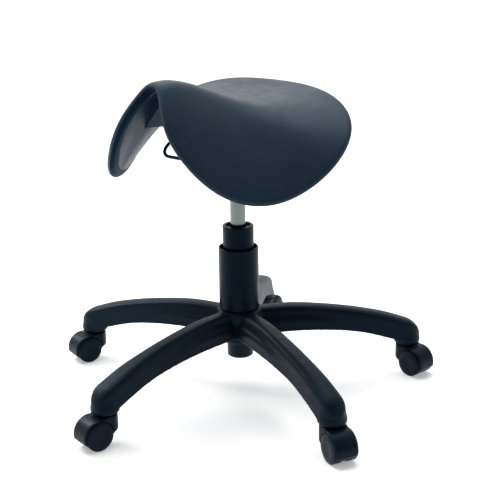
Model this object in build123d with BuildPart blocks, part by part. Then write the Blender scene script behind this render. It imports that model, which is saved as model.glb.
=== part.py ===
from build123d import *
import os
from math import cos, exp, radians, sin

# Dentist's saddle stool on a five-star castor base with a gas lift.
# Frame: millimetres, +Z up, origin on the column's axis at floor level, the rider faces -Y.

# ---- driving dimensions --------------------------------------------------------------
ARMS = 5
BASE_TURN = -21.35          # direction of the first arm, degrees from +X
STEM_CIRCLE = 319.0         # radius of the circle of castor stems
TRAIL_ANGLES = (-24.0, -8.0, 98.0, 256.0, 260.0)  # which way each castor trails at rest

HUB_TOP = 152.0
HUB_BOTTOM = 93.0
HUB_RADIUS = 40.0
RING_HEIGHT = 10.0          # steel ring let into the hub's underside
RING_RADIUS = 31.0

BOSS_RADIUS = 24.5
BOSS_LEAN = 3.2             # how far the boss has drawn in at its shoulder
BOSS_SHOULDER = 82.0
BOSS_BOTTOM = 58.0
BOSS_TOP = 101.5
STEM_RADIUS = 5.5
STEM_TOP = 88.0
STEM_BOTTOM = 34.0
RUNNING_GAP = 0.05          # radial clearance of every running fit

WHEEL_RADIUS = 25.0
WHEEL_INNER_FACE = 5.2
WHEEL_OUTER_FACE = 21.6
TRAIL = 23.8
AXLE_RADIUS = 3.0
HOOD_HALF_WIDTH = 21.4
HOOD_RADIUS = 29.0
HOOD_TOP = 57.0

STAND_RADIUS = 25.0
STAND_TOP = 300.0
STAND_FOOT = 60.0
TAPER_FOOT_RADIUS = 23.8
TUBE_RADIUS = 14.0          # the bright tube that carries the seat
TUBE_BOTTOM = 196.0
ROD_RADIUS = 5.0
ROD_TOP = 274.0
ROD_FOOT = 53.0
BUSH_LENGTH = 78.0
INNER_SLEEVE_RADIUS = 27.9
INNER_SLEEVE_TOP = 308.0
OUTER_SLEEVE_RADIUS = 36.2
OUTER_SLEEVE_TOP = 268.0

TUBE_TOP = 463.0

PLATE_TOP = 490.0           # top face of the steel seat plate
PLATE_THICKNESS = 3.0
PLATE_LENGTH = 140.0
PLATE_WIDTH = 110.0
SCREW_SPACING_X = 80.0
SCREW_SPACING_Y = 110.0
HOUSING_FLOOR = 459.0       # underside of the lever housing below the plate
CONE_BOTTOM = 424.0

LEVER_WIRE = 3.0            # radius of the lever's rod
LEVER_REACH = 138.0
LEVER_HALF_WIDTH = 50.0
LEVER_END_Z = 453.0
LEVER_RISE = 18.0           # how much higher the loop's back corners are
LEVER_BACK = 112.0
PIVOT_Y = -30.0
PIVOT_Z = 475.0
PIVOT_RADIUS = 2.5

arm_angles = [BASE_TURN + 360 / ARMS * k for k in range(ARMS)]
os.makedirs("parts", exist_ok=True)


def save(piece, name):
    """Label a finished piece and write it as its own STEP file."""
    piece.label = name
    export_step(piece, f"parts/{name}.step")


# ---- five-star base ------------------------------------------------------------------
# Arm stations: distance out, top, bottom, half width at the top, half width of the skirt.
ARM_STATIONS = (
    (24.0, 150.6, 104.0, 16.0, 25.0),
    (90.0, 150.8, 105.0, 16.5, 24.0),
    (160.0, 143.0, 101.0, 17.0, 22.5),
    (225.0, 131.0, 90.5, 18.0, 20.5),
    (280.0, 116.0, 72.0, 20.0, 20.5),
    (STEM_CIRCLE - 4, BOSS_TOP + 0.5, BOSS_BOTTOM + 3.5, BOSS_RADIUS - 2.4, BOSS_RADIUS - 1.2),
)
SKIRT_HEIGHT = 12.0
CROWN_SHARE = 0.95          # depth of the rounded top as a share of its half width


def arm_section(reach, top, bottom, half_top, half_skirt):
    """An arm's section, square to the arm: upright skirt, flared flank and rounded top."""
    shoulder = bottom + SKIRT_HEIGHT
    crown = top - half_top * CROWN_SHARE
    with BuildSketch(Plane(origin=(reach, 0, 0), x_dir=(0, 1, 0), z_dir=(1, 0, 0))) as section:
        with BuildLine():
            Line((0, bottom), (half_skirt, bottom))
            Line((half_skirt, bottom), (half_skirt, shoulder))
            Spline((half_skirt, shoulder), (half_top, crown), tangents=((-0.25, 1), (0, 1)))
            Spline((half_top, crown), (0, top), tangents=((0, 1), (-1, 0)))
            mirror(about=Plane.YZ)
        make_face()
    return section.sketch


with BuildPart() as arm:
    loft(sections=[arm_section(*station) for station in ARM_STATIONS])

with BuildPart() as arm_boss:
    with BuildSketch(Plane.XZ):
        with BuildLine():
            Line((0, BOSS_TOP), (0, BOSS_BOTTOM))
            Line((0, BOSS_BOTTOM), (BOSS_RADIUS - 3, BOSS_BOTTOM))
            Line((BOSS_RADIUS - 3, BOSS_BOTTOM), (BOSS_RADIUS, BOSS_BOTTOM + 3))
            Spline(
                (BOSS_RADIUS, BOSS_BOTTOM + 3),
                (BOSS_RADIUS - BOSS_LEAN, BOSS_SHOULDER),
                (0, BOSS_TOP),
                tangents=((0, 1), (-1, 0)),
            )
        make_face()
    revolve(axis=Axis.Z)

RING_Z = 80.0               # the castor's grip ring in its socket
RING_THICKNESS = 3.6
RING_OUTER = 6.2
RING_GROOVE = RING_THICKNESS + 0.4
SOCKET_FOOT = BOSS_BOTTOM - 5
with BuildPart() as stem_socket:
    with BuildSketch(Plane.XY.offset(SOCKET_FOOT)):
        Circle(STEM_RADIUS + RUNNING_GAP)
    extrude(amount=STEM_TOP + 2 - SOCKET_FOOT)
    with BuildSketch(Plane.XY.offset(RING_Z)):
        Circle(RING_OUTER)
    extrude(amount=RING_GROOVE)

POCKETS = 5
POCKET_START = 70.0
POCKET_PITCH = 44.0
POCKET_LENGTH = 38.0
POCKET_WIDTH = 26.0
POCKET_FLOOR = 60.0
POCKET_CEILING = 140.0      # of the pocket nearest the hub
with BuildPart() as star_base:
    with BuildSketch(Plane.XY.offset(HUB_BOTTOM)):
        Circle(HUB_RADIUS)
    extrude(amount=HUB_TOP - HUB_BOTTOM)
    for angle in arm_angles:
        add(arm.part.rotate(Axis.Z, angle))
        add(arm_boss.part.moved(Location((STEM_CIRCLE, 0, 0))).rotate(Axis.Z, angle))
    # moulding pockets under each arm, with ribs between them
    for angle in arm_angles:
        for step in range(POCKETS):
            reach = POCKET_START + POCKET_PITCH * step
            ceiling = POCKET_CEILING - 7.0 * step - 1.5 * step * step
            depth = ceiling - POCKET_FLOOR
            pocket = Box(POCKET_LENGTH, POCKET_WIDTH - 1.5 * step, depth, mode=Mode.PRIVATE)
            middle = Location((reach, 0, POCKET_FLOOR + depth / 2))
            pocket = pocket.moved(middle).rotate(Axis.Z, angle)
            add(pocket, mode=Mode.SUBTRACT)
        at_stem = Location((STEM_CIRCLE * cos(radians(angle)), STEM_CIRCLE * sin(radians(angle)), 0))
        add(stem_socket.part.moved(at_stem), mode=Mode.SUBTRACT)
    # tapered socket for the column
    with BuildSketch(Plane.XZ):
        with BuildLine():
            Polyline(
                (0, HUB_TOP + 1),
                (STAND_RADIUS, HUB_TOP + 1),
                (TAPER_FOOT_RADIUS, STAND_FOOT),
                (0, STAND_FOOT),
                close=True,
            )
        make_face()
    revolve(axis=Axis.Z, mode=Mode.SUBTRACT)
    with BuildSketch(Plane.XY.offset(HUB_BOTTOM)):
        Circle(RING_RADIUS)
    extrude(amount=RING_HEIGHT, mode=Mode.SUBTRACT)
save(star_base.part, "star_base")


with BuildPart() as hub_ring:
    with BuildSketch(Plane.XY.offset(HUB_BOTTOM)):
        Circle(RING_RADIUS)
        Circle(STAND_RADIUS, mode=Mode.SUBTRACT)
    extrude(amount=RING_HEIGHT)
save(hub_ring.part, "hub_ring")

# ---- column --------------------------------------------------------------------------
STAND_WALL = 2.0
with BuildPart() as stand_tube:
    with BuildSketch(Plane.XZ):
        with BuildLine():
            Polyline(
                (7.0, STAND_FOOT),
                (TAPER_FOOT_RADIUS - 2, STAND_FOOT),
                (TAPER_FOOT_RADIUS, STAND_FOOT + 2),
                (STAND_RADIUS, HUB_TOP + 1),
                (STAND_RADIUS, STAND_TOP),
                (STAND_RADIUS - STAND_WALL, STAND_TOP),
                (STAND_RADIUS - STAND_WALL, HUB_TOP),
                (TAPER_FOOT_RADIUS - STAND_WALL, STAND_FOOT + 4),
                (7.0, STAND_FOOT + 4),
                close=True,
            )
        make_face()
    revolve(axis=Axis.Z)
save(stand_tube.part, "stand_tube")

BUSH_SLOTS = 8
with BuildPart() as guide_bush:
    with BuildSketch(Plane.XZ):
        with BuildLine():
            Polyline(
                (TUBE_RADIUS + RUNNING_GAP, STAND_TOP + 3),
                (TUBE_RADIUS + RUNNING_GAP, STAND_TOP - BUSH_LENGTH),
                (STAND_RADIUS - STAND_WALL, STAND_TOP - BUSH_LENGTH),
                (STAND_RADIUS - STAND_WALL, STAND_TOP),
                (STAND_RADIUS, STAND_TOP),
                (STAND_RADIUS, STAND_TOP + 3),
                close=True,
            )
        make_face()
    revolve(axis=Axis.Z)
    with BuildSketch(Plane.XY.offset(STAND_TOP + 3)):
        with PolarLocations(19.5, BUSH_SLOTS):
            SlotOverall(7.0, 3.0, rotation=90)
    extrude(amount=-6, mode=Mode.SUBTRACT)
save(guide_bush.part, "guide_bush")

with BuildPart() as inner_sleeve:
    with BuildSketch(Plane.XZ):
        with BuildLine():
            Polyline(
                (STAND_RADIUS + 0.2, HUB_TOP + 2),
                (INNER_SLEEVE_RADIUS, HUB_TOP + 2),
                (INNER_SLEEVE_RADIUS, INNER_SLEEVE_TOP - 1.2),
                (INNER_SLEEVE_RADIUS - 1.2, INNER_SLEEVE_TOP),
                (TUBE_RADIUS + 8.6, INNER_SLEEVE_TOP),
                (TUBE_RADIUS + 8.0, INNER_SLEEVE_TOP - 1.0),
                (TUBE_RADIUS + 8.0, STAND_TOP + 3.2),
                (STAND_RADIUS + 0.2, STAND_TOP + 3.2),
                close=True,
            )
        make_face()
    revolve(axis=Axis.Z)
save(inner_sleeve.part, "inner_sleeve")

SLEEVE_WALL = 2.6
SLEEVE_DRAFT = 0.35
with BuildPart() as outer_sleeve:
    with BuildSketch(Plane.XZ):
        with BuildLine():
            Polyline(
                (OUTER_SLEEVE_RADIUS - 4.5, HUB_TOP),
                (OUTER_SLEEVE_RADIUS - 2.2, HUB_TOP),
                (OUTER_SLEEVE_RADIUS + SLEEVE_DRAFT, HUB_TOP + 3.5),
                (OUTER_SLEEVE_RADIUS - SLEEVE_DRAFT, OUTER_SLEEVE_TOP - 1.2),
                (OUTER_SLEEVE_RADIUS - SLEEVE_DRAFT - 1, OUTER_SLEEVE_TOP),
                (OUTER_SLEEVE_RADIUS - SLEEVE_WALL, OUTER_SLEEVE_TOP),
                (OUTER_SLEEVE_RADIUS - SLEEVE_WALL, HUB_TOP + 6),
                (OUTER_SLEEVE_RADIUS - 4.5, HUB_TOP + 4),
                close=True,
            )
        make_face()
    revolve(axis=Axis.Z)
save(outer_sleeve.part, "outer_sleeve")

# ---- thrust bearing at the column's foot -----------------------------------------------
BEARING_FLOOR = STAND_FOOT + 4
BALL_RADIUS = 1.8
BALLS = 12
BALL_CIRCLE = 11.0
WASHER = 1.2
BALL_CENTRE = BEARING_FLOOR + WASHER + BALL_RADIUS + 0.05
BEARING_TOP = BALL_CENTRE + BALL_RADIUS + 0.05

with BuildPart() as lower_race:
    with BuildSketch(Plane.XY.offset(BEARING_FLOOR)):
        Circle(16.0)
        Circle(7.0, mode=Mode.SUBTRACT)
    extrude(amount=WASHER)
save(lower_race.part, "bearing_lower_race")

with BuildPart() as bearing_balls:
    with Locations(Plane.XY.offset(BALL_CENTRE)):
        with PolarLocations(BALL_CIRCLE, BALLS):
            Sphere(BALL_RADIUS)
save(bearing_balls.part, "bearing_balls")

with BuildPart() as bearing_cage:
    with BuildSketch(Plane.XY.offset(BALL_CENTRE - 0.6)):
        Circle(14.5)
        Circle(7.5, mode=Mode.SUBTRACT)
        with PolarLocations(BALL_CIRCLE, BALLS):
            Circle(BALL_RADIUS + 0.1, mode=Mode.SUBTRACT)
    extrude(amount=1.2)
save(bearing_cage.part, "bearing_cage")

with BuildPart() as upper_race:
    with BuildSketch(Plane.XY.offset(BEARING_TOP)):
        Circle(16.0)
        Circle(ROD_RADIUS, mode=Mode.SUBTRACT)
    extrude(amount=WASHER)
save(upper_race.part, "bearing_upper_race")

with BuildPart() as bump_stop:
    with BuildSketch(Plane.XY.offset(BEARING_TOP + WASHER)):
        Circle(12.0)
        Circle(ROD_RADIUS, mode=Mode.SUBTRACT)
    extrude(amount=7.0)
    chamfer(bump_stop.edges().sort_by(Axis.Z)[-1], 1.0)
save(bump_stop.part, "bump_stop")

# ---- gas spring --------------------------------------------------------------------------
GROOVE_DEPTH = 1.0
CLIP_Z = 56.0
with BuildPart() as piston_rod:
    with BuildSketch(Plane.XY.offset(ROD_FOOT)):
        Circle(ROD_RADIUS)
    extrude(amount=ROD_TOP - ROD_FOOT)
    chamfer(piston_rod.edges().sort_by(Axis.Z)[0], 1.0)
    with BuildSketch(Plane.XY.offset(CLIP_Z)):
        Circle(ROD_RADIUS + 1)
        Circle(ROD_RADIUS - GROOVE_DEPTH, mode=Mode.SUBTRACT)
    extrude(amount=1.5, mode=Mode.SUBTRACT)
save(piston_rod.part, "piston_rod")

with BuildPart() as foot_washer:
    with BuildSketch(Plane.XY.offset(CLIP_Z + 1.5)):
        Circle(11.0)
        Circle(ROD_RADIUS, mode=Mode.SUBTRACT)
    extrude(amount=STAND_FOOT - CLIP_Z - 1.5 - 0.1)
save(foot_washer.part, "foot_washer")

with BuildPart() as retaining_clip:
    with BuildSketch(Plane.XY.offset(CLIP_Z)):
        Circle(8.5)
        Circle(ROD_RADIUS - GROOVE_DEPTH, mode=Mode.SUBTRACT)
        with Locations((0, -7)):
            Rectangle(6.0, 8.0, mode=Mode.SUBTRACT)
    extrude(amount=1.5)
save(retaining_clip.part, "retaining_clip")

TUBE_WALL = 1.5
TUBE_TOP_RADIUS = 13.4      # the tube tapers into the seat's cone
TUBE_BORE = TUBE_RADIUS - TUBE_WALL
PISTON_HEIGHT = 14.0
with BuildPart() as piston:
    with BuildSketch(Plane.XY.offset(ROD_TOP - PISTON_HEIGHT - 4)):
        Circle(TUBE_BORE - RUNNING_GAP)
        Circle(ROD_RADIUS, mode=Mode.SUBTRACT)
    extrude(amount=PISTON_HEIGHT)
    with BuildSketch(Plane.XY.offset(ROD_TOP - PISTON_HEIGHT / 2 - 5)):
        Circle(TUBE_BORE + 1)
        Circle(TUBE_BORE - 1.6, mode=Mode.SUBTRACT)
    extrude(amount=2.4, mode=Mode.SUBTRACT)
save(piston.part, "piston")

with BuildPart() as piston_seal:
    with BuildSketch(Plane.XY.offset(ROD_TOP - PISTON_HEIGHT / 2 - 5)):
        Circle(TUBE_BORE - RUNNING_GAP)
        Circle(TUBE_BORE - 1.6, mode=Mode.SUBTRACT)
    extrude(amount=2.4)
save(piston_seal.part, "piston_seal")

with BuildPart() as pressure_tube:
    with BuildSketch(Plane.XZ):
        with BuildLine():
            Polyline(
                (TUBE_BORE, TUBE_BOTTOM),
                (TUBE_RADIUS - 1.0, TUBE_BOTTOM),
                (TUBE_RADIUS, TUBE_BOTTOM + 1.5),
                (TUBE_RADIUS, CONE_BOTTOM),
                (TUBE_TOP_RADIUS, TUBE_TOP),
                (TUBE_BORE, TUBE_TOP),
                close=True,
            )
        make_face()
    revolve(axis=Axis.Z)
save(pressure_tube.part, "pressure_tube")

PIN_RADIUS = 4.0
PIN_TOP = 470.0
PIN_LENGTH = 26.0
VALVE_LENGTH = 34.0
with BuildPart() as rod_guide:
    with BuildSketch(Plane.XY.offset(TUBE_BOTTOM + 1)):
        Circle(TUBE_BORE)
        Circle(ROD_RADIUS + RUNNING_GAP, mode=Mode.SUBTRACT)
    extrude(amount=24.0)
save(rod_guide.part, "rod_guide")

with BuildPart() as valve_body:
    with BuildSketch(Plane.XY.offset(TUBE_TOP - VALVE_LENGTH)):
        Circle(TUBE_BORE)
    extrude(amount=VALVE_LENGTH)
    with BuildSketch(Plane.XY.offset(TUBE_TOP)):
        Circle(PIN_RADIUS + RUNNING_GAP)
    extrude(amount=4 - VALVE_LENGTH, mode=Mode.SUBTRACT)
save(valve_body.part, "valve_body")

with BuildPart() as release_pin:
    with BuildSketch(Plane.XY.offset(PIN_TOP - PIN_LENGTH)):
        Circle(PIN_RADIUS)
    extrude(amount=PIN_LENGTH)
    fillet(release_pin.edges().sort_by(Axis.Z)[-1], 1.5)
save(release_pin.part, "release_pin")

SPRING_WIRE = 0.5
SPRING_FLOOR = TUBE_TOP - VALVE_LENGTH + 4
SPRING_RADIUS = 2.8
with BuildPart() as valve_spring:
    with BuildLine() as coil:
        Helix(
            pitch=(PIN_TOP - PIN_LENGTH - SPRING_FLOOR - 2 * SPRING_WIRE) / 4,
            height=PIN_TOP - PIN_LENGTH - SPRING_FLOOR - 2 * SPRING_WIRE - 0.2,
            radius=SPRING_RADIUS,
            center=(0, 0, SPRING_FLOOR + SPRING_WIRE + 0.1),
        )
    with BuildSketch(Plane(origin=coil.line @ 0, z_dir=coil.line % 0)):
        Circle(SPRING_WIRE)
    sweep()
save(valve_spring.part, "valve_spring")

# ---- seat plate, housing and lever ---------------------------------------------------------
SCREW_RADIUS = 3.0
with BuildPart() as seat_plate:
    with BuildSketch(Plane.XY.offset(PLATE_TOP - PLATE_THICKNESS)):
        RectangleRounded(PLATE_WIDTH, PLATE_LENGTH, 12)
        with GridLocations(SCREW_SPACING_X, SCREW_SPACING_Y, 2, 2):
            Circle(SCREW_RADIUS + 0.3, mode=Mode.SUBTRACT)
    extrude(amount=PLATE_THICKNESS)
save(seat_plate.part, "seat_plate")

HOUSING_WIDTH = 60.0
HOUSING_LENGTH = 92.0
HOUSING_WALL = 2.5
PLATE_UNDERSIDE = PLATE_TOP - PLATE_THICKNESS
with BuildPart() as lever_housing:
    with BuildSketch(Plane.XZ.offset(-HOUSING_LENGTH / 2)):
        with BuildLine():
            Polyline(
                (-HOUSING_WIDTH / 2, PLATE_UNDERSIDE),
                (-HOUSING_WIDTH / 2, HOUSING_FLOOR),
                (HOUSING_WIDTH / 2, HOUSING_FLOOR),
                (HOUSING_WIDTH / 2, PLATE_UNDERSIDE),
                (HOUSING_WIDTH / 2 - HOUSING_WALL, PLATE_UNDERSIDE),
                (HOUSING_WIDTH / 2 - HOUSING_WALL, HOUSING_FLOOR + HOUSING_WALL),
                (-HOUSING_WIDTH / 2 + HOUSING_WALL, HOUSING_FLOOR + HOUSING_WALL),
                (-HOUSING_WIDTH / 2 + HOUSING_WALL, PLATE_UNDERSIDE),
                close=True,
            )
        make_face()
    extrude(amount=HOUSING_LENGTH)
    with BuildSketch(Plane.XY.offset(HOUSING_FLOOR)):
        Circle(TUBE_RADIUS)
    extrude(amount=HOUSING_WALL, mode=Mode.SUBTRACT)
    with BuildSketch(Plane.YZ.offset(-HOUSING_WIDTH / 2)):
        with Locations((PIVOT_Y, PIVOT_Z)):
            Circle(PIVOT_RADIUS)
    extrude(amount=HOUSING_WIDTH, mode=Mode.SUBTRACT)
save(lever_housing.part, "lever_housing")

CONE_TOP_RADIUS = 20.0
CONE_FOOT_RADIUS = 17.5
with BuildPart() as taper_cone:
    with BuildSketch(Plane.XZ):
        with BuildLine():
            Polyline(
                (TUBE_RADIUS, CONE_BOTTOM),
                (CONE_FOOT_RADIUS, CONE_BOTTOM),
                (CONE_TOP_RADIUS, CONE_BOTTOM + 6),
                (CONE_TOP_RADIUS, HOUSING_FLOOR),
                (TUBE_TOP_RADIUS + 0.1, HOUSING_FLOOR),
                close=True,
            )
        make_face()
    revolve(axis=Axis.Z)
save(taper_cone.part, "taper_cone")

with BuildPart() as lever_pivot:
    with BuildSketch(Plane.YZ.offset(-HOUSING_WIDTH / 2 - 3)):
        with Locations((PIVOT_Y, PIVOT_Z)):
            Circle(PIVOT_RADIUS)
    extrude(amount=HOUSING_WIDTH + 6)
    with BuildSketch(Plane.YZ.offset(-HOUSING_WIDTH / 2 - 3)):
        with Locations((PIVOT_Y, PIVOT_Z)):
            Circle(PIVOT_RADIUS + 2)
    extrude(amount=3)
save(lever_pivot.part, "lever_pivot")

TONGUE_GAP = 0.8            # free play between the tongue and the release pin
TONGUE_BOTTOM = PIN_TOP + TONGUE_GAP
TONGUE_THICKNESS = 3.0
with BuildPart() as lever_tongue:
    with BuildSketch(Plane.XY.offset(TONGUE_BOTTOM)):
        with Locations((0, -24)):
            RectangleRounded(30, 58, 4)
    extrude(amount=TONGUE_THICKNESS)
    with BuildSketch(Plane.YZ.offset(-11)):
        with Locations((PIVOT_Y, PIVOT_Z)):
            Circle(4.8)
    extrude(amount=22)
    with BuildSketch(Plane.YZ.offset(-20)):
        with Locations((PIVOT_Y, PIVOT_Z)):
            Circle(PIVOT_RADIUS + RUNNING_GAP)
    extrude(amount=40, mode=Mode.SUBTRACT)
save(lever_tongue.part, "lever_tongue")

ROD_Z = TONGUE_BOTTOM + TONGUE_THICKNESS + LEVER_WIRE + 0.05
with BuildPart() as lever_loop:
    with BuildLine() as loop_line:
        FilletPolyline(
            (-11, -37, ROD_Z),
            (-11, -56, ROD_Z),
            (-LEVER_HALF_WIDTH, -LEVER_BACK, LEVER_END_Z + LEVER_RISE),
            (-LEVER_HALF_WIDTH, -LEVER_REACH, LEVER_END_Z),
            (LEVER_HALF_WIDTH, -LEVER_REACH, LEVER_END_Z),
            (LEVER_HALF_WIDTH, -LEVER_BACK, LEVER_END_Z + LEVER_RISE),
            (11, -56, ROD_Z),
            (11, -37, ROD_Z),
            radius=[12, 16, 22, 22, 16, 12],
        )
    with BuildSketch(Plane(origin=loop_line.line @ 0, z_dir=loop_line.line % 0)):
        Circle(LEVER_WIRE)
    sweep()
save(lever_loop.part, "lever_loop")

# ---- saddle: shell and cushion ---------------------------------------------------------------
# The seat's outer surface is described by s, the distance forward of the column, and q, the
# distance from the middle line measured over the surface.
DIP_HEIGHT = 540.0          # height of the middle line at its lowest
DIP_AT = -4.0
POMMEL_RISE = 47.0
POMMEL_AT = 180.0
CANTLE_RISE = 21.8          # rise of the middle line at CANTLE_AT behind the dip
CANTLE_AT = 140.0
SEAT_MIDDLE = 61.9          # the outline's centre, forward of the column
SEAT_HALF_LENGTH = 169.5
SEAT_HALF_SPAN = 280.7
SLOPE_SPAN = 289.0          # where the side's slope has grown by half of SLOPE_GAIN
SLOPE_GAIN = 0.38
SCOOP_DEPTH = 39.2          # the front edge is scooped back in the middle
SCOOP_WIDTH = 63.9
CUSHION_MIDDLE = 26.0       # thickness over the plate
CUSHION_EDGE = 10.0
SHELL_THICKNESS = 4.0
SHELL_INSET = 15.0          # the shell's edge stays inside the cushion's edge
SEAM_GAP = 0.8


def middle_line(s):
    """Height of the seat's middle line."""
    if s < DIP_AT:
        return DIP_HEIGHT + CANTLE_RISE * ((s - DIP_AT) / CANTLE_AT) ** 2
    return DIP_HEIGHT + POMMEL_RISE * sin(radians(90) * (s - DIP_AT) / (POMMEL_AT - DIP_AT)) ** 2


def side_slope(s, q):
    """How steeply the seat falls away from its middle line, in degrees."""
    steepest = 37.95 + 92.5 * s / 1000 + 45.3 * (s / 1000) ** 2
    bend = 11.8 + 184.9 / (1 + exp((s - 41.6) / 37.6))
    onset = 1 - exp(-((q / bend) ** (2.17 - 1.04 * s / 1000)))
    return steepest * onset * (1 + SLOPE_GAIN * (q / SLOPE_SPAN - 0.5))


def outline_point(turn, inset):
    """Outline of the seat, at an angle round it from the front: distance forward and span."""
    c = cos(radians(turn))
    blunt = 0.89 if c > 0 else 0.86
    forward = abs(c) ** blunt * (1 if c > 0 else -1)
    s = SEAT_MIDDLE + (SEAT_HALF_LENGTH - inset) * forward
    fullness = 1 + 0.0736 * c + 0.202 * (c * c - 0.5) - 0.0597 * c**3
    return s, (SEAT_HALF_SPAN * fullness - inset) * sin(radians(turn))


def cushion_thickness(s, across):
    """Thickness of foam and cover at a station, from the middle (across = 0) to the edge (1)."""
    middle = CUSHION_EDGE + (CUSHION_MIDDLE - CUSHION_EDGE) * exp(-((s / 100) ** 2))
    return CUSHION_EDGE + (middle - CUSHION_EDGE) * (1 - across**2)


def skin_points(s, span, depth_at, count=6):
    """Half a section below the outer surface: (sideways, height) points from middle to edge."""
    points = []
    steps = 12
    side, fall = 0.0, 0.0
    for k in range(count):
        across = k / (count - 1)
        slope = radians(side_slope(s, across * span))
        depth = depth_at(across)
        points.append((side - depth * sin(slope), middle_line(s) - fall - depth * cos(slope)))
        for part_step in range(steps):
            q = span * (k + (part_step + 0.5) / steps) / (count - 1)
            slope = radians(side_slope(s, q))
            side += cos(slope) * span / (count - 1) / steps
            fall += sin(slope) * span / (count - 1) / steps
    return points


def seat_section(turn, inset, top_depth, bottom_depth):
    """Closed section of one layer of the seat, square to the rider's direction."""
    s, span = outline_point(turn, inset)
    top = skin_points(s, span, lambda across: top_depth(s, across))
    bottom = skin_points(s, span, lambda across: bottom_depth(s, across))
    mirrored_top = [(-x, z) for x, z in reversed(top[1:])]
    mirrored_bottom = [(-x, z) for x, z in reversed(bottom[1:])]
    with BuildSketch(Plane(origin=(0, -s, 0), x_dir=(1, 0, 0), z_dir=(0, -1, 0))) as section:
        with BuildLine():
            Spline(*mirrored_top, *top)
            Line(top[-1], bottom[-1])
            Spline(*mirrored_bottom, *bottom)
            Line(mirrored_bottom[0], mirrored_top[0])
        make_face()
    return section.sketch


SECTION_TURNS = (11, 26, 42, 58, 74, 90, 106, 122, 138, 154, 168)
SCOOP_TURNS = (6, 13, 20, 28, 36, 45)
SCOOP_CLEARANCE = 1.0       # the cutter leaves the outline by this much past the scoop
SCOOP_FRONT = 300.0
SCOOP_HALF_WIDTH = 220.0


def scoop_cutter(inset, depth):
    """Upright block that cuts the scooped front edge, for a layer this deep below the surface."""
    curve = []
    for turn in SCOOP_TURNS:
        s, span = outline_point(turn, inset)
        s += SCOOP_CLEARANCE - (SCOOP_DEPTH + SCOOP_CLEARANCE) * exp(-((span / SCOOP_WIDTH) ** 2))
        curve.append((skin_points(s, span, lambda across: depth)[-1][0], -s))
    front = outline_point(0, inset)[0] - SCOOP_DEPTH
    mirrored = [(-x, y) for x, y in reversed(curve)]
    with BuildPart() as cutter:
        with BuildSketch(Plane.XY.offset(380)):
            with BuildLine():
                Spline(*mirrored, (0, -front), *curve)
                Line(curve[-1], (SCOOP_HALF_WIDTH, curve[-1][1]))
                Line((SCOOP_HALF_WIDTH, curve[-1][1]), (SCOOP_HALF_WIDTH, -SCOOP_FRONT))
                Line((SCOOP_HALF_WIDTH, -SCOOP_FRONT), (-SCOOP_HALF_WIDTH, -SCOOP_FRONT))
                Line((-SCOOP_HALF_WIDTH, -SCOOP_FRONT), (-SCOOP_HALF_WIDTH, curve[-1][1]))
                Line((-SCOOP_HALF_WIDTH, curve[-1][1]), mirrored[0])
            make_face()
        extrude(amount=260)
    return cutter.part


with BuildPart() as seat_cushion:
    loft(
        sections=[
            seat_section(turn, 0, lambda s, across: 0, cushion_thickness)
            for turn in SECTION_TURNS
        ]
    )
    add(scoop_cutter(0, 0), mode=Mode.SUBTRACT)
save(seat_cushion.part, "seat_cushion")


def shell_top(s, across):
    """Depth of the shell's upper face below the seat's surface."""
    return cushion_thickness(s, across) + SEAM_GAP


def shell_bottom(s, across):
    """Depth of the shell's lower face below the seat's surface."""
    return shell_top(s, across) + SHELL_THICKNESS


# cross wall that stiffens the shell under the pommel
WALL_AT = 137.0
WALL_SPAN = 130.0           # how far it reaches each side, measured over the seat's surface
WALL_DEPTH = 14.0           # its top edge runs inside the shell, this far below the surface
WALL_THICKNESS = 4.0
WALL_ARCH = 12.0
wall_top = skin_points(WALL_AT, WALL_SPAN, lambda across: WALL_DEPTH)
wall_end_x, wall_end_z = wall_top[-1]
with BuildPart() as cross_wall:
    with BuildSketch(Plane(origin=(0, -WALL_AT, 0), x_dir=(1, 0, 0), z_dir=(0, -1, 0))):
        with BuildLine():
            Spline(*[(-x, z) for x, z in reversed(wall_top[1:])], *wall_top)
            ThreePointArc((wall_end_x, wall_end_z), (0, wall_end_z + WALL_ARCH), (-wall_end_x, wall_end_z))
        make_face()
    extrude(amount=WALL_THICKNESS / 2, both=True)

BOSS_PAD_RADIUS = 11.0
with BuildPart() as seat_shell:
    loft(
        sections=[
            seat_section(turn, SHELL_INSET, shell_top, shell_bottom) for turn in SECTION_TURNS
        ]
    )
    add(scoop_cutter(SHELL_INSET, CUSHION_EDGE + SEAM_GAP), mode=Mode.SUBTRACT)
    with BuildSketch(Plane.XY.offset(PLATE_TOP)):
        with GridLocations(SCREW_SPACING_X, SCREW_SPACING_Y, 2, 2):
            Circle(BOSS_PAD_RADIUS)
    extrude(amount=30)
    add(cross_wall.part)
    add(seat_cushion.part, mode=Mode.SUBTRACT)
    with BuildSketch(Plane.XY.offset(PLATE_TOP)):
        with GridLocations(SCREW_SPACING_X, SCREW_SPACING_Y, 2, 2):
            Circle(SCREW_RADIUS)
    extrude(amount=12, mode=Mode.SUBTRACT)
save(seat_shell.part, "seat_shell")

with BuildPart() as plate_screws:
    with BuildSketch(Plane.XY.offset(PLATE_UNDERSIDE - 2.5)):
        with GridLocations(SCREW_SPACING_X, SCREW_SPACING_Y, 2, 2):
            Circle(5.5)
    extrude(amount=2.5)
    with BuildSketch(Plane.XY.offset(PLATE_UNDERSIDE)):
        with GridLocations(SCREW_SPACING_X, SCREW_SPACING_Y, 2, 2):
            Circle(SCREW_RADIUS)
    extrude(amount=PLATE_THICKNESS + 11)
    with BuildSketch(Plane.XY.offset(PLATE_UNDERSIDE - 2.5)):
        with GridLocations(SCREW_SPACING_X, SCREW_SPACING_Y, 2, 2):
            RegularPolygon(2.6, 6)
    extrude(amount=1.6, mode=Mode.SUBTRACT)
save(plate_screws.part, "plate_screws")

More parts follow.
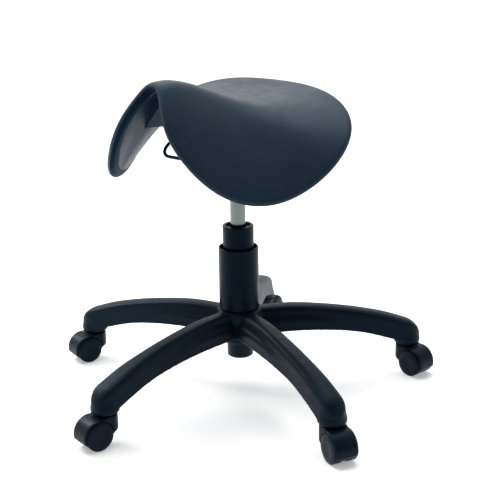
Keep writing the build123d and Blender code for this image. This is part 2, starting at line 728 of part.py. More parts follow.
# ---- castors -------------------------------------------------------------------------------
# Modelled with the stem on the Z axis and the wheels trailing along +X, then placed.
WEB_HALF = 4.6
WELL_RADIUS = WHEEL_RADIUS + 1.2
AXLE_HALF = 17.6
AXLE_CENTRE = (TRAIL, WHEEL_RADIUS)
GROOVE_RADIUS = 4.6
COLLAR_RADIUS = 15.0
COLLAR_TOP = BOSS_BOTTOM - 0.5
HOOD_FRONT = 20.5
HOOD_CUT = 13.0             # the hood's back stops this far below the axle's level, degrees


def on_hood(angle):
    """Point on the hood's arc over the wheels, at an angle above the axle's level."""
    return TRAIL + HOOD_RADIUS * cos(radians(angle)), WHEEL_RADIUS + HOOD_RADIUS * sin(radians(angle))


hood_end = on_hood(-HOOD_CUT)
hood_back = on_hood(35)
with BuildPart() as hood:
    with BuildSketch(Plane.XZ.offset(-HOOD_HALF_WIDTH)):
        with BuildLine():
            Polyline(
                hood_end,
                (TRAIL + 19, 9),
                (TRAIL - 12, 11),
                (-6, 26),
                (-HOOD_FRONT, 30),
                (-HOOD_FRONT, HOOD_TOP - 4),
                (-HOOD_FRONT + 4, HOOD_TOP),
                (TRAIL, WHEEL_RADIUS + HOOD_RADIUS),
            )
            ThreePointArc(
                (TRAIL, WHEEL_RADIUS + HOOD_RADIUS),
                hood_back,
                hood_end,
            )
        make_face()
    extrude(amount=2 * HOOD_HALF_WIDTH)
    # round front around the stem
    with BuildSketch(Plane.XY):
        with Locations((0, 0)):
            Circle(HOOD_FRONT)
        with Locations((30, 0)):
            Rectangle(60, 2 * HOOD_HALF_WIDTH)
    extrude(amount=80, mode=Mode.INTERSECT)
    # one wheel well each side of the middle web
    for side in (-1, 1):
        with BuildSketch(Plane.XZ.offset(side * WEB_HALF)):
            with Locations(AXLE_CENTRE):
                Circle(WELL_RADIUS)
        extrude(amount=side * 30, mode=Mode.SUBTRACT)
    with BuildSketch(Plane.XY.offset(HOOD_TOP - 4)):
        Circle(COLLAR_RADIUS)
    extrude(amount=COLLAR_TOP - HOOD_TOP + 4)
    with BuildSketch(Plane.XY.offset(STEM_BOTTOM)):
        Circle(STEM_RADIUS)
    extrude(amount=30, mode=Mode.SUBTRACT)
    with BuildSketch(Plane.XZ.offset(-WEB_HALF)):
        with Locations(AXLE_CENTRE):
            Circle(AXLE_RADIUS)
    extrude(amount=2 * WEB_HALF, mode=Mode.SUBTRACT)

with BuildPart() as stem:
    with BuildSketch(Plane.XY.offset(STEM_BOTTOM)):
        Circle(STEM_RADIUS)
    extrude(amount=STEM_TOP - STEM_BOTTOM)
    chamfer(stem.edges().sort_by(Axis.Z)[-1], 1.2)
    with BuildSketch(Plane.XY.offset(RING_Z)):
        Circle(STEM_RADIUS + 1)
        Circle(GROOVE_RADIUS, mode=Mode.SUBTRACT)
    extrude(amount=RING_GROOVE, mode=Mode.SUBTRACT)

with BuildPart() as grip_ring:
    with BuildSketch(Plane.XY.offset(RING_Z + 0.2)):
        Circle(RING_OUTER)
        Circle(GROOVE_RADIUS + RUNNING_GAP, mode=Mode.SUBTRACT)
        with Locations((RING_OUTER, 0)):
            Rectangle(2 * RING_OUTER, 1.6, mode=Mode.SUBTRACT)
    extrude(amount=RING_THICKNESS)

with BuildPart() as axle:
    with BuildSketch(Plane.XZ.offset(-AXLE_HALF)):
        with Locations(AXLE_CENTRE):
            Circle(AXLE_RADIUS)
    extrude(amount=2 * AXLE_HALF)

BORE = AXLE_RADIUS + RUNNING_GAP
with BuildPart() as wheel:
    with BuildSketch(Plane.XY):
        with BuildLine():
            Polyline(
                (0, AXLE_HALF + 0.4),
                (BORE, AXLE_HALF + 0.4),
                (BORE, WHEEL_INNER_FACE),
                (8, WHEEL_INNER_FACE),
                (8, 16),
                (21.4, 16),
                (21.4, WHEEL_INNER_FACE + 0.8),
                (WHEEL_RADIUS - 1, WHEEL_INNER_FACE + 0.2),
                (WHEEL_RADIUS, WHEEL_INNER_FACE + 1.2),
                (WHEEL_RADIUS, WHEEL_OUTER_FACE - 1.8),
            )
            Spline(
                (WHEEL_RADIUS, WHEEL_OUTER_FACE - 1.8),
                (WHEEL_RADIUS - 1.6, WHEEL_OUTER_FACE - 0.2),
                (0, WHEEL_OUTER_FACE + 0.8),
                tangents=((0, 1), (-1, 0)),
            )
            Line((0, WHEEL_OUTER_FACE + 0.8), (0, AXLE_HALF + 0.4))
        make_face()
    revolve(axis=Axis.Y)
wheel_a = wheel.part.moved(Location((TRAIL, 0, WHEEL_RADIUS)))
wheel_b = wheel.part.mirror(Plane.XZ).moved(Location((TRAIL, 0, WHEEL_RADIUS)))

for number, (angle, trail_angle) in enumerate(zip(arm_angles, TRAIL_ANGLES), start=1):
    stem_x = STEM_CIRCLE * cos(radians(angle))
    stem_y = STEM_CIRCLE * sin(radians(angle))
    place = Location((stem_x, stem_y, 0), (0, 0, trail_angle))
    save(hood.part.moved(place), f"castor_{number}_hood")
    save(stem.part.moved(place), f"castor_{number}_stem")
    save(grip_ring.part.moved(place), f"castor_{number}_grip_ring")
    save(axle.part.moved(place), f"castor_{number}_axle")
    save(wheel_a.moved(place), f"castor_{number}_wheel_a")
    save(wheel_b.moved(place), f"castor_{number}_wheel_b")
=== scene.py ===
from math import cos, pi, radians, sin

import bmesh
import bpy
import numpy as np
from mathutils import Matrix, Vector


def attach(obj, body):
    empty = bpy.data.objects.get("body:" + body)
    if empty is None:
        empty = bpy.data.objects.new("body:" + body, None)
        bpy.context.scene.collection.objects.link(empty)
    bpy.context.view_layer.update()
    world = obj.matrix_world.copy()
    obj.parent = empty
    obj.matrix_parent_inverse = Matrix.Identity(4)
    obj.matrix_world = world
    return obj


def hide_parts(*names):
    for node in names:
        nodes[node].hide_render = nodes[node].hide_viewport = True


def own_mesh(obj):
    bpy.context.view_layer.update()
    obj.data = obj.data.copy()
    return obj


# Saddle stool on a five-star castor base. Metres, +Z up, the rider faces -Y.
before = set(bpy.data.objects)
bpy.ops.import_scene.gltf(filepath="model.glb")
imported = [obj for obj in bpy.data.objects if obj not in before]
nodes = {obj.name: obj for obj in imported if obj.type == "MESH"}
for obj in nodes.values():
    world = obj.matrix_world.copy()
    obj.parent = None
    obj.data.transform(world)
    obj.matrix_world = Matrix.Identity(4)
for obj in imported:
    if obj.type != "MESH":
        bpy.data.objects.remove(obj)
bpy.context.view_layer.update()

ARMS = 5
BASE_TURN = -21.35
STEM_CIRCLE = 0.319
TRAIL_ANGLES = (-24.0, -8.0, 98.0, 256.0, 260.0)
arm_angles = [BASE_TURN + 360 / ARMS * k for k in range(ARMS)]


# ---- materials -------------------------------------------------------------------------
class Look:
    """A Principled material whose colour, roughness and bump come from noise over the surface."""

    def __init__(self, name):
        self.mat = bpy.data.materials.new(name)
        self.mat.use_nodes = True
        self.tree = self.mat.node_tree
        self.tree.nodes.clear()
        out = self.tree.nodes.new("ShaderNodeOutputMaterial")
        self.shader = self.tree.nodes.new("ShaderNodeBsdfPrincipled")
        self.tree.links.new(self.shader.outputs[0], out.inputs[0])
        self.where = self.tree.nodes.new("ShaderNodeTexCoord").outputs["Object"]
        self.last_bump = None

    def set(self, **values):
        for key, value in values.items():
            self.shader.inputs[key.replace("_", " ")].default_value = value
        return self

    def stretched(self, scale):
        """Coordinates scaled unevenly, for a grain that runs one way."""
        mapping = self.tree.nodes.new("ShaderNodeMapping")
        mapping.inputs["Scale"].default_value = scale
        self.tree.links.new(self.where, mapping.inputs["Vector"])
        return mapping.outputs[0]

    def noise(self, scale, detail=3.0, where=None):
        node = self.tree.nodes.new("ShaderNodeTexNoise")
        node.inputs["Scale"].default_value = scale
        node.inputs["Detail"].default_value = detail
        self.tree.links.new(where or self.where, node.inputs["Vector"])
        return node.outputs["Fac"]

    def cells(self, scale):
        """Pebbled grain: distance from the borders between small cells."""
        node = self.tree.nodes.new("ShaderNodeTexVoronoi")
        node.feature = "SMOOTH_F1"
        node.inputs["Scale"].default_value = scale
        node.inputs["Smoothness"].default_value = 0.6
        self.tree.links.new(self.where, node.inputs["Vector"])
        return node.outputs["Distance"]

    def ramp(self, factor, low, high, start=0.3, end=0.7):
        node = self.tree.nodes.new("ShaderNodeValToRGB")
        node.color_ramp.elements[0].position = start
        node.color_ramp.elements[1].position = end
        node.color_ramp.elements[0].color = low
        node.color_ramp.elements[1].color = high
        self.tree.links.new(factor, node.inputs[0])
        return node.outputs[0]

    def colour(self, factor, low, high):
        self.tree.links.new(self.ramp(factor, (*low, 1), (*high, 1)), self.shader.inputs["Base Color"])
        return self

    def roughness(self, factor, low, high):
        grey = self.ramp(factor, (low, low, low, 1), (high, high, high, 1))
        self.tree.links.new(grey, self.shader.inputs["Roughness"])
        return self

    def facing(self, axis):
        """How far the surface faces along an axis, from -1 to 1."""
        parts = self.tree.nodes.new("ShaderNodeSeparateXYZ")
        normal = self.tree.nodes.new("ShaderNodeTexCoord").outputs["Normal"]
        self.tree.links.new(normal, parts.inputs[0])
        return parts.outputs[axis]

    def scaled(self, factor, low, high, start, end):
        """Low to high as the factor goes from start to end."""
        node = self.tree.nodes.new("ShaderNodeMapRange")
        for key, value in (("From Min", start), ("From Max", end), ("To Min", low), ("To Max", high)):
            node.inputs[key].default_value = value
        self.tree.links.new(factor, node.inputs["Value"])
        return node.outputs[0]

    def tinted(self, share, tint):
        """Blend the colour made so far towards a tint."""
        colour = self.shader.inputs["Base Color"]
        node = self.tree.nodes.new("ShaderNodeMix")
        node.data_type = "RGBA"
        factor, before, after = node.inputs[0], node.inputs[6], node.inputs[7]
        after.default_value = (*tint, 1)
        self.tree.links.new(share, factor)
        self.tree.links.new(colour.links[0].from_socket, before)
        self.tree.links.new(node.outputs[2], colour)

    def glow(self, near, far, start, end):
        """Emission that grows with the distance from the origin."""
        length = self.tree.nodes.new("ShaderNodeVectorMath")
        length.operation = "LENGTH"
        self.tree.links.new(self.where, length.inputs[0])
        strength = self.scaled(length.outputs["Value"], near, far, start, end)
        self.tree.links.new(strength, self.shader.inputs["Emission Strength"])

    def bump(self, height, strength, distance):
        node = self.tree.nodes.new("ShaderNodeBump")
        node.inputs["Strength"].default_value = strength
        node.inputs["Distance"].default_value = distance
        self.tree.links.new(height, node.inputs["Height"])
        if self.last_bump:
            self.tree.links.new(self.last_bump, node.inputs["Normal"])
        self.last_bump = node.outputs[0]
        self.tree.links.new(self.last_bump, self.shader.inputs["Normal"])
        return self


NAVY_SHEEN = (0.38, 0.68, 1.0, 1)
COVER_SHEEN = (0.5, 0.76, 1.0, 1)
# Lighter colour for the pan's forward-facing cross wall: a painted reflection.
PAINTED_WALL_REFLECTION = (0.060, 0.088, 0.108)


def moulded(name, low, high, rough, grain, depth, gloss):
    """Moulded black plastic: faint mottling, uneven gloss and a fine spark-eroded texture."""
    look = Look(name).set(Specular_IOR_Level=gloss, Specular_Tint=NAVY_SHEEN)
    look.colour(look.noise(38, 4), low, high)
    look.roughness(look.noise(90, 3), rough - 0.05, rough + 0.06)
    look.bump(look.noise(grain, 2), 0.3, depth)
    return look.mat


def plated(name, low, high, rough, scale):
    """Plated or drawn steel with fine marks that run round the part."""
    look = Look(name).set(Metallic=1.0)
    marks = look.noise(1.0, 5, look.stretched(scale))
    look.colour(marks, low, high)
    look.roughness(marks, rough - 0.05, rough + 0.08)
    look.bump(marks, 0.12, 0.00008)
    return look.mat


nylon = moulded("nylon", (0.0026, 0.0050, 0.0088), (0.0040, 0.0072, 0.0118), 0.46, 900, 0.00022, 0.13)
castor_nylon = moulded(
    "castor_nylon", (0.0026, 0.0048, 0.0085), (0.0040, 0.0068, 0.0112), 0.38, 1400, 0.00012, 0.13
)
sleeve_plastic = moulded(
    "sleeve_plastic", (0.0016, 0.0038, 0.0080), (0.0026, 0.0052, 0.0105), 0.34, 1600, 0.0001, 0.08
)
acetal = moulded("acetal", (0.03, 0.03, 0.032), (0.05, 0.05, 0.053), 0.35, 800, 0.0001, 0.3)
rubber = moulded("rubber", (0.012, 0.012, 0.012), (0.02, 0.02, 0.02), 0.7, 700, 0.0003, 0.3)
black_enamel = moulded(
    "black_enamel", (0.004, 0.005, 0.008), (0.006, 0.008, 0.012), 0.27, 600, 0.00008, 0.2
)
bright_steel = plated("bright_steel", (0.120, 0.130, 0.134), (0.165, 0.177, 0.181), 0.17, (6, 6, 900))
plain_steel = plated("plain_steel", (0.42, 0.43, 0.45), (0.6, 0.61, 0.62), 0.33, (250, 250, 250))
valve_metal = plated("valve_metal", (0.55, 0.52, 0.45), (0.68, 0.65, 0.58), 0.3, (40, 40, 700))

# The pan's streaks run across the seat. Its cross wall, which faces forward, is a shade lighter: a painted
# reflection, tinted by the way it faces.
pan = Look("pan_plastic").set(Specular_IOR_Level=0.022, Specular_Tint=NAVY_SHEEN)
gloss_and_sheen_streaks = pan.noise(1.0, 2, pan.stretched((7, 45, 7)))
# The colour streaks are painted reflection streaks. The roughness varies along the same streaks.
pan.colour(gloss_and_sheen_streaks, (0.0040, 0.0150, 0.0280), (0.0075, 0.0220, 0.0390))
pan.roughness(gloss_and_sheen_streaks, 0.20, 0.38)
# Painted reflection: faces turned forward are tinted lighter.
pan.tinted(pan.scaled(pan.facing("Y"), 0.0, 1.0, -0.6, -0.9), PAINTED_WALL_REFLECTION)
pan.bump(pan.noise(1.0, 1, pan.stretched((8, 22, 8))), 0.35, 0.004)


def covering(name, low, high, gloss):
    """Dark blue coated upholstery with a fine pebbled grain."""
    look = Look(name).set(Specular_IOR_Level=gloss, Specular_Tint=COVER_SHEEN)
    look.colour(look.noise(14, 4), low, high)
    look.roughness(look.noise(45, 4), 0.38, 0.48)
    look.bump(look.noise(9, 2), 0.12, 0.0010)
    look.bump(look.cells(780), 0.3, 0.00018)
    look.bump(look.noise(2600, 2), 0.3, 0.00005)
    return look


cover = covering("cover", (0.0100, 0.0190, 0.0295), (0.0140, 0.0250, 0.0380), 0.17)
# A darker copy of the cover for the band under the edge and the underside: painted shade, with almost no
# sheen.
cover_painted_shade = covering("cover_painted_shade", (0.0034, 0.0115, 0.0260), (0.0044, 0.0140, 0.0310), 0.01)

node_looks = {
    "star_base": nylon,
    "inner_sleeve": sleeve_plastic,
    "outer_sleeve": sleeve_plastic,
    "seat_cushion": cover.mat,
    "seat_shell": pan.mat,
    "pressure_tube": bright_steel,
    "stand_tube": black_enamel,
    "seat_plate": black_enamel,
    "lever_housing": black_enamel,
    "taper_cone": black_enamel,
    "lever_loop": black_enamel,
    "lever_tongue": black_enamel,
    "guide_bush": acetal,
    "bearing_cage": acetal,
    "rod_guide": acetal,
    "valve_body": valve_metal,
    "piston": valve_metal,
    "bump_stop": rubber,
    "piston_seal": rubber,
}
for name, node in nodes.items():
    look = node_looks.get(name)
    if look is None:
        look = castor_nylon if name.endswith(("hood", "wheel_a", "wheel_b")) else plain_steel
    node.data.materials.clear()
    node.data.materials.append(look)


# ---- mesh helpers ----------------------------------------------------------------------
def placed(name, mesh):
    """A mesh put into the scene as a named piece."""
    mesh.name = name
    piece = bpy.data.objects.new(name, mesh)
    bpy.context.scene.collection.objects.link(piece)
    return piece


def mesh_object(name, points, faces, look):
    """A new piece from points and faces, with its normals made to agree."""
    mesh = bpy.data.meshes.new(name)
    mesh.from_pydata([tuple(map(float, p)) for p in points], [], [tuple(map(int, f)) for f in faces])
    tidy = bmesh.new()
    tidy.from_mesh(mesh)
    bmesh.ops.recalc_face_normals(tidy, faces=tidy.faces)
    tidy.to_mesh(mesh)
    tidy.free()
    mesh.polygons.foreach_set("use_smooth", [True] * len(mesh.polygons))
    mesh.materials.append(look)
    return placed(name, mesh)


def lofted(rows, cap=True):
    """Faces between closed rings of points laid one after another: returns (points, faces)."""
    count = len(rows[0])
    points = [p for row in rows for p in row]
    faces = []
    for r in range(len(rows) - 1):
        for k in range(count):
            a, b = r * count + k, r * count + (k + 1) % count
            faces.append((a, b, b + count, a + count))
    if cap:
        faces.append(tuple(range(count)))
        faces.append(tuple(range((len(rows) - 1) * count, len(rows) * count)))
    return points, faces


def turned(profile, centre=(0, 0), steps=64):
    """Points and faces of a solid turned about a vertical axis, from (radius, height) pairs."""
    rows = []
    for k in range(steps):
        a = 2 * pi * k / steps
        rows.append([(centre[0] + r * cos(a), centre[1] + r * sin(a), z) for r, z in profile])
    rows.append(rows[0])
    return lofted(rows, cap=False)


def apply_modifiers(piece):
    """Replace the piece's mesh by what its modifiers make of it."""
    shown = piece.evaluated_get(bpy.context.evaluated_depsgraph_get())
    made = bpy.data.meshes.new_from_object(shown)
    old = piece.data
    piece.modifiers.clear()
    piece.data = made
    made.name = old.name
    bpy.data.meshes.remove(old)


def fused(piece, voxel, smoothing):
    """One moulded skin from overlapping solids, with every inner corner filleted."""
    remesh = piece.modifiers.new("fuse", "REMESH")
    remesh.mode = "VOXEL"
    remesh.voxel_size = voxel
    remesh.use_smooth_shade = True
    blend = piece.modifiers.new("fillet", "SMOOTH")
    blend.factor = 0.5
    blend.iterations = smoothing
    apply_modifiers(piece)


def combined(piece, other, operation):
    """Cut the other solid out of the piece, or keep only what lies in it, and delete the other."""
    step = piece.modifiers.new("combine", "BOOLEAN")
    step.operation = operation
    step.solver = "EXACT"
    step.object = other
    apply_modifiers(piece)
    mesh = other.data
    bpy.data.objects.remove(other)
    bpy.data.meshes.remove(mesh)


def joined(name, parts, look):
    """One object from several (points, faces) pairs."""
    points, faces = [], []
    for some_points, some_faces in parts:
        start = len(points)
        points += list(some_points)
        faces += [tuple(i + start for i in f) for f in some_faces]
    return mesh_object(name, points, faces, look)


def hermite(xs, ys, x):
    """Smooth curve through a table of values."""
    xs, ys = np.asarray(xs, float), np.asarray(ys, float)
    slopes = np.gradient(ys, xs)
    k = int(np.clip(np.searchsorted(xs, x) - 1, 0, len(xs) - 2))
    h = xs[k + 1] - xs[k]
    t = (x - xs[k]) / h
    return (
        (2 * t**3 - 3 * t**2 + 1) * ys[k]
        + (t**3 - 2 * t**2 + t) * h * slopes[k]
        + (3 * t**2 - 2 * t**3) * ys[k + 1]
        + (t**3 - t**2) * h * slopes[k + 1]
    )


# ---- saddle surface --------------------------------------------------------------------
# s is the distance forward of the column, q the distance from the middle line over the surface.
DIP_HEIGHT, DIP_AT = 0.540, -0.004
POMMEL_RISE, POMMEL_AT = 0.0470, 0.180
CANTLE_RISE, CANTLE_AT = 0.0218, 0.140
SEAT_MIDDLE, SEAT_HALF_LENGTH, SEAT_HALF_SPAN = 0.0619, 0.1695, 0.2807
SLOPE_SPAN, SLOPE_GAIN = 0.289, 0.38
STEEPNESS = (37.95, 92.5, 45.3)                     # degrees: at s = 0, per metre, per metre squared
BEND_FRONT, BEND_MORE = 0.0118, 0.1849              # how far out the sides bend down
BEND_CHANGE_AT, BEND_CHANGE_OVER = 0.0416, 0.0376
ONSET_POWER, ONSET_CHANGE = 2.17, 1.04
FULLER_FRONT, FULLER_ENDS, FULLER_TIPS = 0.0736, 0.202, -0.0597
FRONT_POWER, BACK_POWER = 0.89, 0.86                # below 1 the outline is blunter than an ellipse
SCOOP_DEPTH, SCOOP_WIDTH = 0.0392, 0.0639
CUSHION_MIDDLE, CUSHION_EDGE, CUSHION_FADE = 0.026, 0.010, 0.100
ROLL = 0.0063               # radius of the rolled edge


def middle_line(s):
    back = DIP_HEIGHT + CANTLE_RISE * ((s - DIP_AT) / CANTLE_AT) ** 2
    front = DIP_HEIGHT + POMMEL_RISE * np.sin(pi / 2 * (s - DIP_AT) / (POMMEL_AT - DIP_AT)) ** 2
    return np.where(s < DIP_AT, back, front)


def side_slope(s, q):
    """Angle by which the seat falls off sideways at a point."""
    steepest = np.radians(STEEPNESS[0] + STEEPNESS[1] * s + STEEPNESS[2] * s**2)
    bend = BEND_FRONT + BEND_MORE / (1 + np.exp((s - BEND_CHANGE_AT) / BEND_CHANGE_OVER))
    onset = 1 - np.exp(-((np.abs(q) / bend) ** (ONSET_POWER - ONSET_CHANGE * s)))
    return steepest * onset * (1 + SLOPE_GAIN * (np.abs(q) / SLOPE_SPAN - 0.5))


SLOPE_STEPS = 60


def skin(s, q):
    """Points of the seat's outer surface."""
    s, q = np.asarray(s, float), np.asarray(q, float)
    steps = (np.arange(SLOPE_STEPS) + 0.5) / SLOPE_STEPS
    slope = side_slope(s[:, None], q[:, None] * steps)
    x = q * np.cos(slope).mean(1)
    z = middle_line(s) - np.abs(q) * np.sin(slope).mean(1)
    return np.stack([x, -s, z], 1)


def unit(v):
    return v / np.linalg.norm(v, axis=1, keepdims=True)


def skin_normals(s, q):
    h = 0.0005
    along = skin(s + h, q) - skin(s - h, q)
    across = skin(s, q + h) - skin(s, q - h)
    return unit(np.cross(along, across))


def fullness(c):
    """How much fuller than an ellipse the outline is, by the cosine of the angle round it."""
    return 1 + FULLER_FRONT * c + FULLER_ENDS * (c * c - 0.5) + FULLER_TIPS * c**3


def outline(turn, inset=0.0):
    """The seat's edge: (s, q) at angles round it from the front, scooped back in the middle."""
    c = np.cos(turn)
    blunt = np.where(c > 0, FRONT_POWER, BACK_POWER)
    s = SEAT_MIDDLE + (SEAT_HALF_LENGTH - inset) * np.sign(c) * np.abs(c) ** blunt
    q = (SEAT_HALF_SPAN * fullness(c) - inset) * np.sin(turn)
    return s - np.where(c > 0, SCOOP_DEPTH * np.exp(-((q / SCOOP_WIDTH) ** 2)), 0), q


def cushion_thickness(s, q):
    """Thickness of foam and cover, from the middle to the edge."""
    forward = np.clip((s - SEAT_MIDDLE) / SEAT_HALF_LENGTH, -1, 1)
    c = np.sign(forward) * np.abs(forward) ** (1 / np.where(forward > 0, FRONT_POWER, BACK_POWER))
    span = np.maximum(SEAT_HALF_SPAN * fullness(c) * np.sqrt(np.maximum(1 - c * c, 0)), 1e-4)
    across = np.clip(np.abs(q) / span, 0, 1)
    middle = (CUSHION_MIDDLE - CUSHION_EDGE) * np.exp(-((s / CUSHION_FADE) ** 2))
    return CUSHION_EDGE + middle * (1 - across**2)


def even_turns(count):
    """Angles round the outline that space its points evenly, starting half a side before the front."""
    fine = np.linspace(0, 2 * pi, 8 * 360 + 1)
    s, q = outline(fine)
    along = np.concatenate([[0], np.cumsum(np.hypot(np.diff(s), np.diff(q)))])
    wanted = ((np.arange(count) - count / 8) / count % 1) * along[-1]
    return np.interp(wanted, along, fine)


CORE_SHARE, CORE_BULGE = 0.45, 0.25


def disc_grid(edge_s, edge_q, rings):
    """(s, q) of a quad grid that fills the outline: a square in the middle and rings round it.

    Returns s, q, faces and the indices of the outermost ring."""
    count = len(edge_s)
    n = count // 4
    u = np.linspace(-1, 1, n + 1)
    uu, vv = np.meshgrid(u, u, indexing="ij")
    core_q = CORE_SHARE * SEAT_HALF_SPAN * uu * np.sqrt(1 - CORE_BULGE * vv**2)
    core_s = SEAT_MIDDLE - CORE_SHARE * SEAT_HALF_LENGTH * vv * np.sqrt(1 - CORE_BULGE * uu**2)
    index = np.arange((n + 1) ** 2).reshape(n + 1, n + 1)
    loop = np.concatenate([index[:n, 0], index[n, :n], index[n:0:-1, n], index[0, n:0:-1]])
    faces = [
        (index[i, j], index[i + 1, j], index[i + 1, j + 1], index[i, j + 1])
        for i in range(n)
        for j in range(n)
    ]
    all_s, all_q = [core_s.ravel()], [core_q.ravel()]
    inner_s, inner_q = core_s.ravel()[loop], core_q.ravel()[loop]
    before = loop
    for ring in range(1, rings + 1):
        w = ring / rings
        here = (n + 1) ** 2 + (ring - 1) * count + np.arange(count)
        all_s.append(inner_s + w * (edge_s - inner_s))
        all_q.append(inner_q + w * (edge_q - inner_q))
        for k in range(count):
            m = (k + 1) % count
            faces.append((before[k], before[m], here[m], here[k]))
        before = here
    return np.concatenate(all_s), np.concatenate(all_q), faces, before


def seat_layer(inset, rings, count, depth_at):
    """A sheet of the seat at a depth below its outer surface, and its edge loop."""
    s, q = outline(even_turns(count), inset)
    grid_s, grid_q, faces, edge = disc_grid(s, q, rings)
    points = skin(grid_s, grid_q)
    slope = side_slope(grid_s, grid_q)
    depth = depth_at(grid_s, grid_q)
    points[:, 0] -= np.sign(grid_q) * depth * np.sin(slope)
    points[:, 2] -= depth * np.cos(slope)
    return points, faces, edge


EDGE_COUNT, RINGS = 160, 9
BAND_INSET = 0.0148
ROLL_ANGLES = (25, 50, 75, 100, 125, 150, 172)
ROLL_ROWS_ABOVE = 4         # rows of the rolled edge that still belong to the upper side
# Rows of the band under the edge: distance in from the outline, depth below the outer surface.
BAND_ROWS = ((0.004, 0.0131), (0.0085, 0.0134), (0.0122, 0.0133), (0.0144, 0.0122))


def cushion_mesh():
    """Closed cushion: crowned top, rolled edge, upholstered band under the edge, flat underside."""
    top, top_faces, top_edge = seat_layer(0.0, RINGS, EDGE_COUNT, lambda s, q: 0 * s)
    turns = even_turns(EDGE_COUNT)
    s, q = outline(turns)
    edge = skin(s, q)
    normal = skin_normals(s, q)
    tangent = unit(np.roll(edge, -1, 0) - np.roll(edge, 1, 0))
    outward = np.cross(tangent, normal)
    centre = skin(np.array([SEAT_MIDDLE]), np.array([0.0]))
    outward *= np.sign(((edge - centre) * outward).sum(1))[:, None]
    rows = []
    for degrees in ROLL_ANGLES:
        a = radians(degrees)
        rows.append(edge + ROLL * (sin(a) * outward - (1 - cos(a)) * normal))
    for inset, depth in BAND_ROWS:
        band_s, band_q = outline(turns, inset)
        rows.append(skin(band_s, band_q) - depth * skin_normals(band_s, band_q))
    bottom, bottom_faces, bottom_edge = seat_layer(BAND_INSET, RINGS, EDGE_COUNT, cushion_thickness)
    points = [top, *rows, bottom]
    starts = np.cumsum([0] + [len(p) for p in points])
    loops = [top_edge]
    loops += [starts[k + 1] + np.arange(EDGE_COUNT) for k in range(len(rows))]
    loops.append(bottom_edge + starts[-2])
    faces = list(top_faces) + [tuple(i + starts[-2] for i in f) for f in bottom_faces]
    for a, b in zip(loops[:-1], loops[1:]):
        for k in range(EDGE_COUNT):
            m = (k + 1) % EDGE_COUNT
            faces.append((a[k], a[m], b[m], b[k]))
    made = mesh_object("cushion", np.concatenate(points), faces, cover.mat)
    # The band under the rolled edge and the underside take the darker copy of the cover: painted shade.
    made.data.materials.append(cover_painted_shade.mat)
    first_below = len(top_faces) + len(bottom_faces) + ROLL_ROWS_ABOVE * EDGE_COUNT
    slots = np.arange(len(faces)) >= first_below
    slots[len(top_faces):len(top_faces) + len(bottom_faces)] = True
    made.data.polygons.foreach_set("material_index", slots.astype(np.int32))
    return made


cushion = cushion_mesh()
SIM_FRAMES = 20
FOAM_PRESSURE = 4.0
PUFF_LIMIT = 0.0011
SWELL_EVENING = 60          # rounds of averaging


def evened(mesh, values):
    """Values at the vertices, averaged with their neighbours' over and over until they run smoothly."""
    edges = np.empty(len(mesh.edges) * 2, np.int32)
    mesh.edges.foreach_get("vertices", edges)
    a, b = edges.reshape(-1, 2).T
    count = np.bincount(a, minlength=len(values)) + np.bincount(b, minlength=len(values))
    for _ in range(SWELL_EVENING):
        total = np.bincount(a, values[b], len(values)) + np.bincount(b, values[a], len(values))
        values = 0.5 * (values + total / count)
    return values


def vertex_values(mesh, key):
    """The vertices' places or normals as rows of three."""
    values = np.empty(len(mesh.vertices) * 3, np.float32)
    mesh.vertices.foreach_get(key, values)
    return values.reshape(-1, 3)


def inflate(piece, pressure, limit):
    """Let the foam's pressure swell the cover, and keep at most `limit` of the outward movement."""
    scene = bpy.context.scene
    rest = vertex_values(piece.data, "co")
    normals = vertex_values(piece.data, "normal")
    cloth = piece.modifiers.new("Cloth", "CLOTH")
    cloth.settings.use_pressure = True
    cloth.settings.uniform_pressure_force = pressure
    cloth.settings.effector_weights.gravity = 0
    cloth.settings.quality = 5
    cloth.settings.tension_stiffness = 30
    cloth.settings.compression_stiffness = 30
    cloth.settings.bending_stiffness = 8
    cloth.collision_settings.use_collision = False
    for step in range(1, SIM_FRAMES + 1):
        scene.frame_set(step)
    shown = piece.evaluated_get(bpy.context.evaluated_depsgraph_get())
    moved = vertex_values(shown.data, "co")
    swell = np.clip(((moved - rest) * normals).sum(1), 0, limit)
    shift = normals * evened(piece.data, swell)[:, None]
    piece.modifiers.clear()
    scene.frame_set(1)
    piece.data.vertices.foreach_set("co", (rest + shift).astype(np.float32).ravel())
    piece.data.update()


inflate(cushion, FOAM_PRESSURE, PUFF_LIMIT)
smoother = cushion.modifiers.new("Subdivision", "SUBSURF")
smoother.levels = 1
smoother.render_levels = 1
apply_modifiers(cushion)
cushion.data.polygons.foreach_set("use_smooth", [True] * len(cushion.data.polygons))
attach(cushion, "seat")
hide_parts("seat_cushion")

# ---- star base -------------------------------------------------------------------------
HUB_TOP, HUB_BOTTOM, HUB_RADIUS = 0.152, 0.093, 0.040
BOSS_BOTTOM, BOSS_TOP = 0.058, 0.0890
# Stations along an arm: distance out, top, bottom, half width at the top, half width of the skirt.
ARM_TABLE = np.array((
    (0.015, 0.1512, 0.1045, 0.0160, 0.0245),
    (0.045, 0.1516, 0.1048, 0.0162, 0.0243),
    (0.090, 0.1520, 0.1050, 0.0165, 0.0240),
    (0.160, 0.1445, 0.1010, 0.0170, 0.0225),
    (0.225, 0.1325, 0.0905, 0.0180, 0.0205),
    (0.280, 0.1180, 0.0740, 0.0198, 0.0218),
    (0.318, 0.1040, 0.0610, 0.0203, 0.0240),
))
